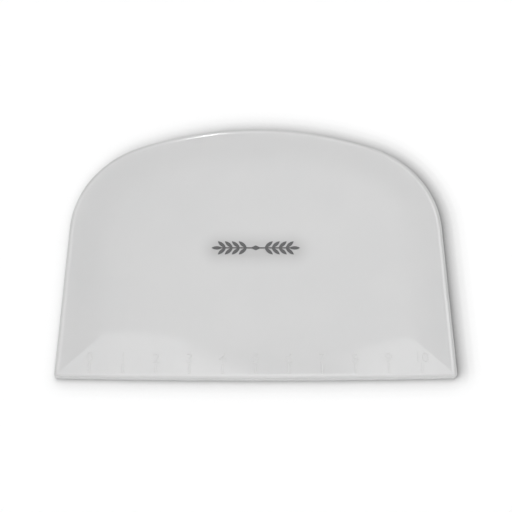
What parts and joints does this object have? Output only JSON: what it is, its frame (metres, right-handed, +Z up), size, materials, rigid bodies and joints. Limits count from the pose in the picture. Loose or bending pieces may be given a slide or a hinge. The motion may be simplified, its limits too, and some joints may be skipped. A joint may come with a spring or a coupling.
{
  "type": "bowl scraper",
  "caption": "Thin D-shaped plastic dough and bowl scraper: straight edge with a raised centimetre scale, leaning sides, rounded back and a bevelled rim.",
  "frame": {"origin": "on the flat underside, under the middle of the card's bounding box", "axes": "+X along the straight edge, +Y from the straight edge towards the rounded back, +Z up out of the printed face"},
  "size_m": [0.121, 0.086, 0.0027],
  "materials": {
    "milky_plastic": "milky translucent polyethylene, smooth and semi-gloss",
    "grey_ink": "thin film of dark grey printing ink, satin"
  },
  "bodies": {
    "root": {"scraper_card": "milky_plastic", "printed_ornament": "grey_ink"}
  },
  "joints": []
}
